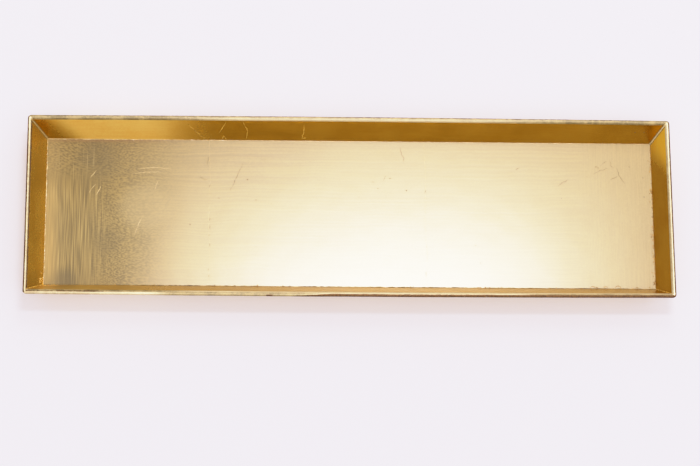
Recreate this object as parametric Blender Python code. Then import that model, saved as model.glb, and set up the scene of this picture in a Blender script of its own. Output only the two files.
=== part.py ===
"""A long shallow desk tray: a base board let in between four leaning walls that are mitred at the corners.

A thin spline in a saw kerf holds each mitre. Headless pins hold the base: they pass through the foot of each
wall into its edge. Four felt pads carry the tray. Metres, +Z up, length along X. The origin lies on the
surface that the tray stands on, under its middle.
"""

import math

import bmesh
import bpy
from mathutils import Matrix, Vector

# Overall form
TRAY_LENGTH = 0.406  # over the rounded rim
TRAY_WIDTH = 0.117  # over the rounded rim
INNER_DEPTH = 0.0185  # from the floor up to the rim
WALL_LEAN = math.radians(23.5)  # of every wall, from the vertical

# Boards
WALL_BOARD = 0.0026  # thickness square to a wall's face
BASE_BOARD = 0.003
GLUE_LINE = 0.0003  # between any two pieces that are glued together
RIM_ROUND = 0.0012  # taken off each arris of the rim
CORNER_ROUND = 0.0012  # radius of the tray's corners on top of the rim, inside its rounding

# Splines across the mitres
SPLINE_THICKNESS = 0.001
KERF_STOP = 0.0011  # wood left between a kerf's end and the tray's inner corner

# Pins through the walls' feet into the base
PIN_RADIUS = 0.0004
PIN_FIT = 0.0002  # clearance round a pin and past its tip
PIN_SET = 0.0004  # how far a pin's end is punched below the wall's outer face
PIN_BITE = 0.0085  # how far a pin reaches into the base
PINS_PER_LONG_WALL = 3
PINS_PER_SHORT_WALL = 1
PIN_END_DISTANCE = 0.06  # from the end of a wall's foot to its last pin

# Felt pads under the base
FELT_RADIUS = 0.006
FELT_THICKNESS = 0.0015
FELT_MARGIN = 0.006  # from a pad's rim to the edges of the base

# Levels and slopes that follow from the sizes
SLOPE = math.tan(WALL_LEAN)
WALL_ACROSS = WALL_BOARD / math.cos(WALL_LEAN)  # thickness of a wall measured level
ROUND_LOSS = RIM_ROUND * (1 - math.tan((math.pi / 2 - WALL_LEAN) / 2))  # rim to sharp arris, level
FOOT_Z = FELT_THICKNESS + GLUE_LINE
FLOOR_Z = FOOT_Z + BASE_BOARD
RIM_Z = FLOOR_Z + INNER_DEPTH
PIN_Z = (FOOT_Z + FLOOR_Z) / 2
SPLINE_Z = (FLOOR_Z + RIM_Z) / 2
PIN_LENGTH = WALL_ACROSS - PIN_SET + GLUE_LINE + PIN_BITE
MITRE_X = (TRAY_LENGTH - TRAY_WIDTH) / 2  # where the mitre planes cross the length axis

# Flats that stand for round faces
CORNER_FLATS = 5
RIM_FLATS = 3
PIN_SIDES = 12
FELT_SIDES = 32
SMOOTH_BELOW = math.radians(40)  # faces that meet at less than this are shaded as one

OVERRUN = 0.002  # how far a cutter runs past what it cuts
SAME_POINT = 1e-6  # points and levels this close are one

SIDES = {
    "left": Vector((-1, 0, 0)),
    "right": Vector((1, 0, 0)),
    "front": Vector((0, -1, 0)),
    "back": Vector((0, 1, 0)),
}
CORNERS = {
    "front_left": Vector((-1, -1, 0)),
    "front_right": Vector((1, -1, 0)),
    "back_left": Vector((-1, 1, 0)),
    "back_right": Vector((1, 1, 0)),
}


def clear_scene():
    for leftover in list(bpy.data.objects):
        bpy.data.objects.remove(leftover, do_unlink=True)


def new_collection(name):
    collection = bpy.data.collections.new(name)
    bpy.context.scene.collection.children.link(collection)
    return collection


def finish(name, colour, roughness, metallic):
    made = bpy.data.materials.new(name)
    made.use_nodes = True
    made.diffuse_color = (*colour, 1.0)
    shader = made.node_tree.nodes["Principled BSDF"]
    shader.inputs["Base Color"].default_value = (*colour, 1.0)
    shader.inputs["Roughness"].default_value = roughness
    shader.inputs["Metallic"].default_value = metallic
    return made


def floor_leaf():
    return finish("floor_leaf", (0.86, 0.66, 0.31), 0.28, 1.0)


def wall_leaf():
    return finish("wall_leaf", (0.84, 0.57, 0.19), 0.24, 1.0)


def spline_ply():
    return finish("spline_ply", (0.62, 0.45, 0.27), 0.7, 0.0)


def pin_steel():
    return finish("pin_steel", (0.55, 0.55, 0.56), 0.35, 1.0)


def pad_felt():
    return finish("pad_felt", (0.06, 0.045, 0.035), 0.95, 0.0)


def outer_half(size, z):
    """Half the outer size of the tray at height z. size is the whole over the rim."""
    return size / 2 + ROUND_LOSS - (RIM_Z - z) * SLOPE


def inner_half(size, z):
    """Half the clear size between two opposite walls at height z."""
    return outer_half(size, z) - WALL_ACROSS


def base_half(size, z):
    """Half the size of the base board at height z: its edges lean as the walls do."""
    return inner_half(size, z) - GLUE_LINE


def corner_point(corner, half_at, z):
    """Where two neighbouring faces of the tray would meet at height z if the corner were sharp."""
    return Vector((corner.x * half_at(TRAY_LENGTH, z), corner.y * half_at(TRAY_WIDTH, z), z))


def mesh_of(name, shape, surface=None):
    """Turns a bmesh into a mesh and frees it."""
    mesh = bpy.data.meshes.new(name)
    bmesh.ops.recalc_face_normals(shape, faces=shape.faces)
    shape.to_mesh(mesh)
    shape.free()
    mesh.shade_smooth()
    mesh.set_sharp_from_angle(angle=SMOOTH_BELOW)
    if surface:
        mesh.materials.append(surface)
    return mesh


def place(name, mesh, collection, location=(0, 0, 0), pointing=None):
    """Adds an object. If pointing is given, the object's own Z axis is turned that way."""
    made = bpy.data.objects.new(name, mesh)
    made.location = location
    if pointing is not None:
        made.rotation_euler = pointing.to_track_quat("Z", "Y").to_euler()
    collection.objects.link(made)
    return made


def place_cutter(name, mesh, cutters, location=(0, 0, 0), pointing=None):
    cutter = place(name, mesh, cutters, location, pointing)
    cutter.hide_render = True
    cutter.display_type = "WIRE"
    return cutter


def leaning_block(low_z, high_z, half_at):
    """A block whose sides lean as the walls do. half_at gives half its size at a height."""
    shape = bmesh.new()
    bmesh.ops.create_cube(shape, size=2.0)
    for vert in shape.verts:
        z = high_z if vert.co.z > 0 else low_z
        vert.co = corner_point(vert.co, half_at, z)
    return shape


def upright_rod(radius, length, sides):
    """A round rod that stands on its own origin."""
    shape = bmesh.new()
    bmesh.ops.create_cone(
        shape,
        cap_ends=True,
        segments=sides,
        radius1=radius,
        radius2=radius,
        depth=length,
        matrix=Matrix.Translation((0, 0, length / 2)),
    )
    return shape


def saw_off(shape, point, outward):
    """Saws the shape along a plane and drops what lies on its outward side."""
    cut = bmesh.ops.bisect_plane(
        shape,
        geom=shape.verts[:] + shape.edges[:] + shape.faces[:],
        plane_co=point,
        plane_no=outward,
        clear_outer=True,
    )
    edges = [part for part in cut["geom_cut"] if isinstance(part, bmesh.types.BMEdge)]
    bmesh.ops.holes_fill(shape, edges=edges)


def round_edges(shape, edges, offset, flats):
    bmesh.ops.bevel(
        shape,
        geom=edges,
        offset=offset,
        segments=flats,
        profile=0.5,
        affect="EDGES",
    )


def outer_block():
    """The tray's outside as a solid block with its four leaning corners rounded."""
    shape = leaning_block(FOOT_Z, RIM_Z, outer_half)
    corners = [edge for edge in shape.edges if edge.verts[0].co.z != edge.verts[1].co.z]
    round_edges(shape, corners, CORNER_ROUND + RIM_ROUND, CORNER_FLATS)
    return shape


def wall_ring(cutters):
    """All four walls as one ring, with the rim rounded, before the mitres are sawn."""
    ring = place_cutter("wall_ring", mesh_of("wall_ring", outer_block()), cutters)
    hollow_block = leaning_block(FOOT_Z - OVERRUN, RIM_Z + OVERRUN, inner_half)
    hollow = place_cutter("hollow", mesh_of("hollow", hollow_block), cutters)
    cut = ring.modifiers.new("hollow", "BOOLEAN")
    cut.operation = "DIFFERENCE"
    cut.solver = "EXACT"
    cut.object = hollow
    shape = bmesh.new()
    shape.from_object(ring, bpy.context.evaluated_depsgraph_get())
    for helper in (ring, hollow):
        bpy.data.objects.remove(helper, do_unlink=True)
    bmesh.ops.remove_doubles(shape, verts=shape.verts, dist=SAME_POINT)
    top = {
        face
        for face in shape.faces
        if all(abs(vert.co.z - RIM_Z) < SAME_POINT for vert in face.verts)
    }
    arrises = {edge for face in top for edge in face.edges if not top.issuperset(edge.link_faces)}
    round_edges(shape, list(arrises), RIM_ROUND, RIM_FLATS)
    return shape


def make_wall(name, facing, ring, collection, surface):
    """One wall, sawn from the ring half a glue line short of each mitre plane."""
    shape = ring.copy()
    saw_off(shape, Vector((0, 0, 0)), -facing)
    along = Vector((facing.y, facing.x, 0))
    for neighbour in (along, -along):
        past_mitre = (neighbour - facing).normalized()
        mitre = Vector(((neighbour + facing).x * MITRE_X, 0, 0))
        saw_off(shape, mitre - past_mitre * GLUE_LINE / 2, past_mitre)
    return place(name, mesh_of(name, shape, surface), collection)


def make_walls(collection, cutters):
    surface = wall_leaf()
    ring = wall_ring(cutters)
    walls = [
        make_wall(side + "_wall", facing, ring, collection, surface)
        for side, facing in SIDES.items()
    ]
    ring.free()
    return walls


def make_base(collection):
    board = leaning_block(FOOT_Z, FLOOR_Z, base_half)
    return place("base_panel", mesh_of("base_panel", board, floor_leaf()), collection)


def spline_shape(corner):
    """A level slip across a mitre, from the kerf's end to the outer faces, flush with both walls."""
    shape = outer_block()
    for side in (-1, 1):
        face = Vector((0, 0, side))
        saw_off(shape, Vector((0, 0, SPLINE_Z)) + face * SPLINE_THICKNESS / 2, face)
    outward = corner.normalized()
    inner_end = corner_point(corner, inner_half, SPLINE_Z) + outward * (KERF_STOP + GLUE_LINE)
    saw_off(shape, inner_end, -outward)
    return shape


def kerf_block():
    """What the saw takes out for a spline. It stands on its origin, the kerf's end, and rises outwards."""
    reach = WALL_ACROSS * math.sqrt(2) + OVERRUN
    height = SPLINE_THICKNESS + 2 * GLUE_LINE
    shape = bmesh.new()
    bmesh.ops.create_cube(shape, size=1.0)
    bmesh.ops.scale(shape, vec=(2 * reach, height, reach), verts=shape.verts)
    bmesh.ops.translate(shape, vec=(0, 0, reach / 2), verts=shape.verts)
    return shape


def make_splines(collection, cutters):
    surface = spline_ply()
    kerf = mesh_of("kerf", kerf_block())
    for place_name, corner in CORNERS.items():
        name = "corner_spline_" + place_name
        place(name, mesh_of(name, spline_shape(corner), surface), collection)
        outward = corner.normalized()
        kerf_end = corner_point(corner, inner_half, SPLINE_Z) + outward * KERF_STOP
        place_cutter("kerf_" + place_name, kerf, cutters, kerf_end, outward)


def pin_heads():
    """Each pin's name, the point on the wall's outer face that it enters at, and its direction."""
    for side, facing in SIDES.items():
        long_wall = facing.x == 0
        count = PINS_PER_LONG_WALL if long_wall else PINS_PER_SHORT_WALL
        across, along = (TRAY_WIDTH, TRAY_LENGTH) if long_wall else (TRAY_LENGTH, TRAY_WIDTH)
        face = facing * outer_half(across, PIN_Z) + Vector((0, 0, PIN_Z))
        last = outer_half(along, FOOT_Z) - PIN_END_DISTANCE
        for number in range(count):
            share = 2 * number / (count - 1) - 1 if count > 1 else 0
            shift = Vector((abs(facing.y), abs(facing.x), 0)) * last * share
            yield f"pin_{side}_{number + 1}", face + shift, -facing


def make_pins(collection, cutters):
    pin = mesh_of("pin", upright_rod(PIN_RADIUS, PIN_LENGTH, PIN_SIDES), pin_steel())
    bore_length = OVERRUN + PIN_SET + PIN_LENGTH + PIN_FIT
    bore = mesh_of("bore", upright_rod(PIN_RADIUS + PIN_FIT, bore_length, PIN_SIDES))
    for name, face, inward in pin_heads():
        place(name, pin, collection, face + inward * PIN_SET, inward)
        place_cutter("bore_for_" + name, bore, cutters, face - inward * OVERRUN, inward)


def make_felt_pads(collection):
    pad = mesh_of("felt_pad", upright_rod(FELT_RADIUS, FELT_THICKNESS, FELT_SIDES), pad_felt())
    inset = FELT_MARGIN + FELT_RADIUS
    for place_name, corner in CORNERS.items():
        edge = corner_point(corner, base_half, FOOT_Z)
        centre = Vector((edge.x - corner.x * inset, edge.y - corner.y * inset, 0))
        place("felt_pad_" + place_name, pad, collection, centre)


def cut_bores_and_kerfs(board, cutters):
    cut = board.modifiers.new("bores_and_kerfs", "BOOLEAN")
    cut.operation = "DIFFERENCE"
    cut.solver = "EXACT"
    cut.operand_type = "COLLECTION"
    cut.collection = cutters


def gather(collection):
    """Hangs all the pieces on one empty, so that the tray moves as a whole."""
    whole = bpy.data.objects.new("whole_tray", None)
    for piece in collection.objects:
        piece.parent = whole
    collection.objects.link(whole)


def main():
    clear_scene()
    tray = new_collection("tray")
    cutters = new_collection("cutters")
    boards = make_walls(tray, cutters) + [make_base(tray)]
    make_splines(tray, cutters)
    make_pins(tray, cutters)
    make_felt_pads(tray)
    for board in boards:
        cut_bores_and_kerfs(board, cutters)
    gather(tray)


main()
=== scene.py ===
"""The looks of a long desk tray: boards covered in varnished metal leaf, in a small white studio.

Every board is modelled again round its solid in the frame, with the finish's own shapes on it: the rounded
and worn rim, the ridges that the ground leaves along the mitres, the beads round the floor, and the laps,
wrinkles, cracks and loose flakes of the leaf. Metres, +Z up, length along X, the near long side at -Y.
"""

import math
import random

import bmesh
import bpy
from mathutils import Matrix, Vector, noise


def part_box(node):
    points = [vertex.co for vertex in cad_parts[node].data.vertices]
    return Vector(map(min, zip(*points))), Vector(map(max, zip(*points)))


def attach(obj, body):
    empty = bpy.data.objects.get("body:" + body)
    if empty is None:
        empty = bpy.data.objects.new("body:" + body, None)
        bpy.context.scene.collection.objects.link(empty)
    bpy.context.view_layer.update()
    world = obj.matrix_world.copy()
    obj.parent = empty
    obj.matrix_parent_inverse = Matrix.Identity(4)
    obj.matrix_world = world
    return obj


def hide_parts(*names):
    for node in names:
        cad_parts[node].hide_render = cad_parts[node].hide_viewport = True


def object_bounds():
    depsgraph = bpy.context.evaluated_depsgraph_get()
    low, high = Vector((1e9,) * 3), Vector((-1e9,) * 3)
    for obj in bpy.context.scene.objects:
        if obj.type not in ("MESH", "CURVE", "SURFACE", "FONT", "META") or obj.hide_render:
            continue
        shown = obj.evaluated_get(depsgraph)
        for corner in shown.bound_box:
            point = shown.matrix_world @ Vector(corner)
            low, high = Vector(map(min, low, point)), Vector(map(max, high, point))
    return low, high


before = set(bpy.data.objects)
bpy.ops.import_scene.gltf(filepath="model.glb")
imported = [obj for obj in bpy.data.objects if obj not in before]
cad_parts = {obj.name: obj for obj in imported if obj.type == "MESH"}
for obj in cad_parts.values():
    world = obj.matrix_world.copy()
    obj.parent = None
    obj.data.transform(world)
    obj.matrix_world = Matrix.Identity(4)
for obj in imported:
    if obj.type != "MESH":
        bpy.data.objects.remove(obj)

CAD_LOW, CAD_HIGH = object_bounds()
MM = 0.001
UP = Vector((0, 0, 1))

# The boards, as the frame holds them
LENGTH = CAD_HIGH.x - CAD_LOW.x
WIDTH = CAD_HIGH.y - CAD_LOW.y
RIM_Z = CAD_HIGH.z
FOOT_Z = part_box("front_wall")[0].z
FLOOR_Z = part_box("base_panel")[1].z
LEAN = math.radians(23.5)
WALL_BOARD = 0.0026
RIM_ROUND = 0.0012
CORNER_ROUND = 0.0024
SECTION_GAP = 0.0025  # between the sections that make a wall's mesh

SLOPE = math.tan(LEAN)
ACROSS = WALL_BOARD / math.cos(LEAN)
OUTER_RADIUS = RIM_ROUND * math.tan((math.pi / 2 - LEAN) / 2)
INNER_RADIUS = RIM_ROUND * math.tan((math.pi / 2 + LEAN) / 2)
ARRIS_LOSS = RIM_ROUND - OUTER_RADIUS
ARRIS_Z = RIM_Z - RIM_ROUND * math.cos(LEAN)

MITRE = (LENGTH - WIDTH) / 2  # x - y along the right mitre at the back

# How a hand-made tray departs from its drawing
RIM_BOW = 0.0006  # how far the long rims draw in from their middle to the corners
FLOOR_SKEW = 0.00085  # how far the floor lies to the right, for the left wall leans more than the right one
FRONT_THICKER = 0.0005  # how much thicker the front wall is at its left end than at its right one
LEFT_THINNER = 0.0006  # how much thinner the left wall is at its rim than at the floor
LEFT_FOOT = (0.186, 0.192)  # how far left the left wall begins, softly from the first to the second
BOARD_WAVE = 0.00005
FLOOR_WAVE = 0.00002
WAVE_CALM = 0.012  # how far from a mitre the boards' waves begin to die out

# How wide the rims are rubbed brown, along their outer edge and along their inner one
RUBBED = {
    "left": (0.0009, 0.0005),
    "right": (0.0009, -0.0003),
    "front": (-0.0004, -0.0003),
    "back": (0.0007, -0.0003),
}
RUB_SOFT = 0.00018  # half the width of a rub's soft edge
RUB_DEPTH = {"left": 0.68, "right": 0.68, "front": 0.68, "back": 0.47}
FOOT_RUB = 0.42  # how bare the walls' lower edges are

# The front rim's own wear: a wider rub to the right, a chip, and a rubbed line near its inner edge at left
FRONT_RUB = 0.0020
FRONT_RUB_GROWS = (-0.05, -0.01)
FRONT_CHIP = 0.0015
FRONT_CHIP_OPENS = (-0.0535, -0.0520)
FRONT_CHIP_CLOSES = (-0.0495, -0.0480)
FRONT_LINE_GROWS = (-0.135, -0.155)
FRONT_LINE_IN = 0.0010

# Leaf is sold in squares of 140 mm and laid with narrow laps
LEAF_PITCH = 0.137
FIRST_LAP = -0.0888
FIRST_SIDE_LAP = 0.0237  # on the short walls

SIDES = {
    "left": Vector((-1, 0, 0)),
    "right": Vector((1, 0, 0)),
    "front": Vector((0, -1, 0)),
    "back": Vector((0, 1, 0)),
}
CORNERS = {
    "front_left": Vector((-1, -1, 0)),
    "front_right": Vector((1, -1, 0)),
    "back_left": Vector((-1, 1, 0)),
    "back_right": Vector((1, 1, 0)),
}

# The photograph's camera
CAMERA_PLACE = Vector((-0.07066, -0.41374, 1.46569))
CAMERA_TURN = Vector((0.26772, -0.04739, 0.00116))
CAMERA_LENS_PIXELS = 2400
PHOTO_WIDTH = 700
PHOTO_HEIGHT = 466
SENSOR = 36.0

# How the picture rolls off its bright tones: from the knee up, and to full white at the end
FILM_KNEE = 0.68
FILM_WHITE = 2.5

chance = random.Random(7)
noise.seed_set(7)  # noise_vector differs from run to run without it


# Node trees


class Tree:
    """Short ways to add nodes to the node tree of a material or a world, and to link them."""

    def __init__(self, owner):
        owner.use_nodes = True
        self.owner = owner
        self.tree = owner.node_tree
        self.tree.nodes.clear()

    def add(self, kind, inputs=None, **settings):
        node = self.tree.nodes.new("ShaderNode" + kind)
        for name, value in settings.items():
            setattr(node, name, value)
        for name, value in (inputs or {}).items():
            self.feed(node.inputs[name], value)
        return node

    def feed(self, socket, value):
        if isinstance(value, bpy.types.NodeSocket):
            self.tree.links.new(value, socket)
        else:
            socket.default_value = value

    def math(self, operation, first, second=0.0):
        return self.add("Math", {0: first, 1: second}, operation=operation).outputs[0]

    def size_of(self, value):
        """A value without its sign."""
        return self.math("ABSOLUTE", value)

    def most(self, first, second):
        return self.math("MAXIMUM", first, second)

    def times(self, *values):
        product = values[0]
        for value in values[1:]:
            product = self.math("MULTIPLY", product, value)
        return product

    def sum(self, *shares):
        """Adds up values, each given with its weight."""
        total = None
        for value, weight in shares:
            part = self.times(value, weight)
            total = part if total is None else self.math("ADD", total, part)
        return total

    def place(self):
        """Where a point lies in the tray's own frame, in metres."""
        return self.add("TexCoord").outputs["Object"]

    def parts(self, vector):
        return self.add("SeparateXYZ", {0: vector}).outputs

    def bend(self, place, scale, amount):
        """Shifts places about smoothly, so that straight marks wander as a hand does."""
        drift = self.add("TexNoise", {"Vector": place, "Scale": scale, "Detail": 1.0}).outputs["Color"]
        centred = self.add("VectorMath", {0: drift, 1: (0.5, 0.5, 0.5)}, operation="SUBTRACT").outputs[0]
        scaled = self.add("VectorMath", {0: centred, "Scale": amount}, operation="SCALE").outputs[0]
        return self.add("VectorMath", {0: place, 1: scaled}, operation="ADD").outputs[0]

    def noise(self, place, scale, detail=3.0, roughness=0.55):
        """Noise whose patches are 1/scale across, where scale is one number or one for each axis."""
        if isinstance(scale, tuple):
            place = self.add("Mapping", {"Vector": place, "Scale": scale}).outputs["Vector"]
            scale = 1.0
        inputs = {"Vector": place, "Scale": scale, "Detail": detail, "Roughness": roughness}
        return self.add("TexNoise", inputs).outputs["Fac"]

    def spot(self, place, centre, reach):
        """1 at the centre, falling smoothly to 0 at reach from it."""
        away = self.add("VectorMath", {0: place, 1: centre}, operation="DISTANCE").outputs["Value"]
        return self.step(away, reach, reach * 0.2)

    def step(self, value, low, high, to_low=0.0, to_high=1.0):
        """Goes smoothly from to_low to to_high while value goes from low to high."""
        inputs = {
            "Value": value,
            "From Min": low,
            "From Max": high,
            "To Min": to_low,
            "To Max": to_high,
        }
        return self.add("MapRange", inputs, interpolation_type="SMOOTHSTEP").outputs["Result"]

    def steps(self, *ranges):
        """The product of steps, each given as a value with its low and high."""
        return self.times(*(self.step(*each) for each in ranges))

    def blend(self, share, first, second):
        """first where share is 0, second where it is 1. Both are colours."""
        inputs = {"Factor": share, 6: first, 7: second}
        return self.add("Mix", inputs, data_type="RGBA").outputs[2]

    def mix(self, share, first, second):
        """first where share is 0, second where it is 1. Both are numbers."""
        inputs = {"Factor": share, 2: first, 3: second}
        return self.add("Mix", inputs, data_type="FLOAT").outputs[0]

    def tones(self, shade, reach, deep, pale):
        """Goes from deep to pale while a noise goes from reach below its middle to reach above it."""
        return self.blend(self.step(shade, 0.5 - reach, 0.5 + reach), colour(*deep), colour(*pale))

    def gloss(self, shade, low, high):
        """Roughness from low to high, which follows a noise."""
        return self.step(shade, 0.35, 0.65, low, high)

    def bump(self, height, distance, strength=0.5):
        inputs = {"Strength": strength, "Distance": distance, "Height": height}
        return self.add("Bump", inputs).outputs[0]

    def finish(self, **inputs):
        """Ends a material in a Principled shader and gives it. Underlines in the names stand for spaces."""
        shader = self.add("BsdfPrincipled", {name.replace("_", " "): value for name, value in inputs.items()})
        output = self.add("OutputMaterial")
        self.feed(output.inputs["Surface"], shader.outputs[0])
        return self.owner


def new_material(name):
    return Tree(bpy.data.materials.new(name))


def colour(red, green, blue):
    return (red, green, blue, 1.0)


# Finishes. Their distances are metres in the tray's frame.

# On the floor's dull end: a spot that stayed clear, and dark spots, with their reach and weight
CLEAR_SPOT = ((-0.130, 0.004, FLOOR_Z), 0.024)
DARK_SPOTS = {
    "near": ((-0.1785, -0.0445, FLOOR_Z), 0.012, 0.75),
    "middle": ((-0.1530, -0.0190, FLOOR_Z), 0.015, 0.35),
    "far": ((-0.160, 0.036, FLOOR_Z), 0.022, 0.5),
}


def floor_dullness(tree, place):
    """1 over the floor's brushed left end, whose edge slants, and 0 beyond it."""
    x, y, z = tree.parts(place)
    slant = tree.sum((x, 1.0), (y, -0.28))
    dull = tree.step(slant, -0.0925, tree.step(y, -0.045, 0.045, -0.1425, -0.1725))
    # Less dull at the very left edge, which lightens it: part of the painted reflection of the left wall.
    dull = tree.mix(tree.step(x, -0.174, -0.190), dull, tree.times(dull, 0.8))
    clear = tree.spot(place, *CLEAR_SPOT)
    return tree.times(dull, tree.step(clear, 0.0, 1.0, 1.0, 0.55))


def worn_floor(tree, place, clouds):
    """The dull end's colour: swirls of ground show through, and strokes across it at its left."""
    x, y, z = tree.parts(place)
    swirl = tree.noise(tree.bend(place, 34.0, 0.012), (620.0, 1150.0, 200.0), 0.6, 0.5)
    fine = tree.noise(tree.bend(place, 30.0, 0.0015), (1500.0, 44.0, 200.0), 0.5, 0.5)
    at_left = tree.steps((x, -0.144, -0.168), (y, 0.034, 0.020))
    patches = tree.mix(tree.mix(at_left, 0.26, 0.13), tree.mix(at_left, swirl, fine), clouds)
    limit = tree.mix(at_left, 0.20, 0.23)
    share = tree.step(patches, tree.math("SUBTRACT", 0.5, limit), tree.math("ADD", 0.5, limit))
    near = tree.blend(share, colour(0.190, 0.122, 0.029), colour(0.410, 0.275, 0.080))
    far = tree.blend(share, colour(0.175, 0.108, 0.020), colour(0.360, 0.232, 0.055))
    worn = tree.blend(tree.step(y, -0.010, 0.020), near, far)
    dark = [(tree.spot(place, centre, reach), weight) for centre, reach, weight in DARK_SPOTS.values()]
    worn = tree.blend(tree.sum(*dark), worn, colour(0.15, 0.100, 0.030))
    bright_lines = tree.times(tree.steps((fine, 0.62, 0.76), (x, -0.150, -0.166)), 0.25)
    return tree.blend(bright_lines, worn, colour(0.62, 0.45, 0.18))


def floor_leaf():
    """Leaf under brushed varnish: strokes along the tray in the middle, across it at both ends."""
    tree = new_material("floor_leaf_finish")
    place = tree.place()
    x, y, z = tree.parts(place)
    bent = tree.bend(place, 30.0, 0.004)
    along = tree.noise(bent, (9.0, 680.0, 200.0), 2.5, 0.6)
    across = tree.noise(bent, (1150.0, 34.0, 200.0), 5.0, 0.75)
    strokes = tree.mix(tree.step(tree.size_of(x), 0.138, 0.160), along, across)
    grain = tree.noise(place, 700.0, 4.0, 0.7)
    clouds = tree.noise(place, 42.0, 4.0, 0.6)
    shade = tree.sum((strokes, 0.55), (clouds, 0.2), (grain, 0.25))
    tone = tree.tones(shade, 0.12, (0.415, 0.278, 0.075), (0.505, 0.350, 0.103))
    # Painted shade: the floor's far left is darker and deeper in tone, where the overhead highlight falls
    # away.
    far_left_shade = tree.times(tree.steps((y, 0.0, 0.045), (x, 0.01, -0.07)), 0.7)
    tone = tree.blend(far_left_shade, tone, tree.tones(shade, 0.10, (0.310, 0.192, 0.034), (0.455, 0.300, 0.069)))
    dull = floor_dullness(tree, place)
    tone = tree.blend(dull, tone, worn_floor(tree, place, clouds))
    far_band = tree.times(tree.step(y, 0.0452, 0.0468), dull, 0.6)
    tone = tree.blend(far_band, tone, colour(0.30, 0.16, 0.045))
    # Painted reflection: an orange band along the floor's left edge stands for the amber left wall mirrored
    # in the floor.
    painted_wall_reflection = tree.steps(
        (x, -0.1810, -0.1890, 0.0, 0.52), (y, 0.030, -0.015, 0.25, 1.0), (y, -0.046, -0.034, 0.4, 1.0)
    )
    tone = tree.blend(painted_wall_reflection, tone, colour(0.56, 0.360, 0.100))
    normal = tree.bump(tree.sum((strokes, 0.65), (grain, 0.35)), 0.00002, 0.4)
    return tree.finish(
        Base_Color=tone,
        Metallic=0.25,
        Roughness=tree.gloss(shade, 0.46, 0.56),
        Normal=normal,
        Coat_Weight=tree.mix(dull, 1.0, 0.25),
        Coat_Roughness=0.22,
        Coat_IOR=1.8,
        Coat_Normal=normal,
    )


def rubbed_through(tree, place, scuffing, limit):
    """1 where the leaf is rubbed through, as the mesh's bare and the scuffs add up to more than the limit."""
    rubbed = tree.add("Attribute", attribute_name="bare").outputs["Fac"]
    scuffs = tree.noise(place, scuffing, 5.0, 0.7)
    return tree.step(tree.sum((rubbed, 1.0), (scuffs, 0.9)), limit, 1.0)


def brushed_and_lit_patches(tree, place, bent):
    """How matt the leaf is brushed, with painted light in these patches: most at the back wall's left end and
    the right wall's back end.
    """
    x, y, z = tree.parts(place)
    bent_x, bent_y, bent_z = tree.parts(bent)
    from_left_end = tree.sum((bent_x, 1.0), (z, 0.9))
    on_back = tree.steps((from_left_end, -0.183, -0.157), (bent_x, -0.078, -0.132), (y, 0.030, 0.038))
    falling = tree.sum((x, 1.0), (y, -1.0))
    rising = tree.sum((x, 1.0), (y, 1.0))
    to_back = tree.sum((bent_y, 1.0), (z, 0.9))
    on_right = tree.steps((to_back, 0.038, 0.060), (falling, MITRE - MM, MITRE + MM))
    past_left = (MM - MITRE, -MM - MITRE)
    on_left = tree.steps((rising, *past_left), (falling, *past_left), (bent_y, 0.012, 0.040, 0.12, 0.22))
    off_mitres = tree.sum((tree.size_of(x), 1.0), (y, 1.0))
    on_front = tree.steps((off_mitres, MITRE, MITRE - MM), (x, -0.08, -0.15), (y, 0.0, -0.02))
    return tree.most(on_back, tree.sum((on_right, 1.0), (on_left, 1.0), (on_front, 0.3)))


def wall_leaf():
    """Bright leaf on the walls' faces, brushed matt in places where its colours are painted light, with the
    ground showing where bare is high.
    """
    tree = new_material("wall_leaf_finish")
    place = tree.place()
    x, y, z = tree.parts(place)
    bent = tree.bend(place, 30.0, 0.01)
    grain = tree.noise(place, 760.0, 4.0, 0.6)
    clouds = tree.noise(bent, 48.0, 3.0)
    strokes = tree.noise(bent, (34.0, 34.0, 700.0), 4.0, 0.6)
    shade = tree.sum((clouds, 0.45), (grain, 0.3), (strokes, 0.25))
    matt = brushed_and_lit_patches(tree, place, bent)
    bare = rubbed_through(tree, place, 330.0, 0.80)
    # Painted light: the brushed patches' colours are far paler than the leaf. They stand for light falling on
    # the matt leaf.
    brushed = tree.tones(shade, 0.14, (0.95, 0.545, 0.092), (1.0, 0.655, 0.145))
    at_right = tree.tones(shade, 0.14, (1.0, 0.53, 0.030), (1.0, 0.62, 0.056))
    brushed = tree.blend(tree.step(x, 0.170, 0.180), brushed, at_right)
    leaf = tree.tones(shade, 0.12, (0.60, 0.350, 0.038), (0.69, 0.435, 0.066))
    leaf = tree.blend(matt, leaf, brushed)
    ground = tree.tones(grain, 0.15, (0.085, 0.034, 0.014), (0.19, 0.085, 0.032))
    height = tree.sum((strokes, 0.35), (grain, 0.12), (bare, -0.5))
    return tree.finish(
        Base_Color=tree.blend(bare, leaf, ground),
        Metallic=tree.mix(bare, tree.mix(matt, 1.0, 0.05), 0.0),
        Roughness=tree.mix(bare, tree.mix(matt, tree.gloss(shade, 0.19, 0.26), 0.5), 0.5),
        Normal=tree.bump(height, 0.00002, 0.4),
        Coat_Weight=0.12,
        Coat_Roughness=0.12,
        Coat_IOR=1.45,
    )


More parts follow.
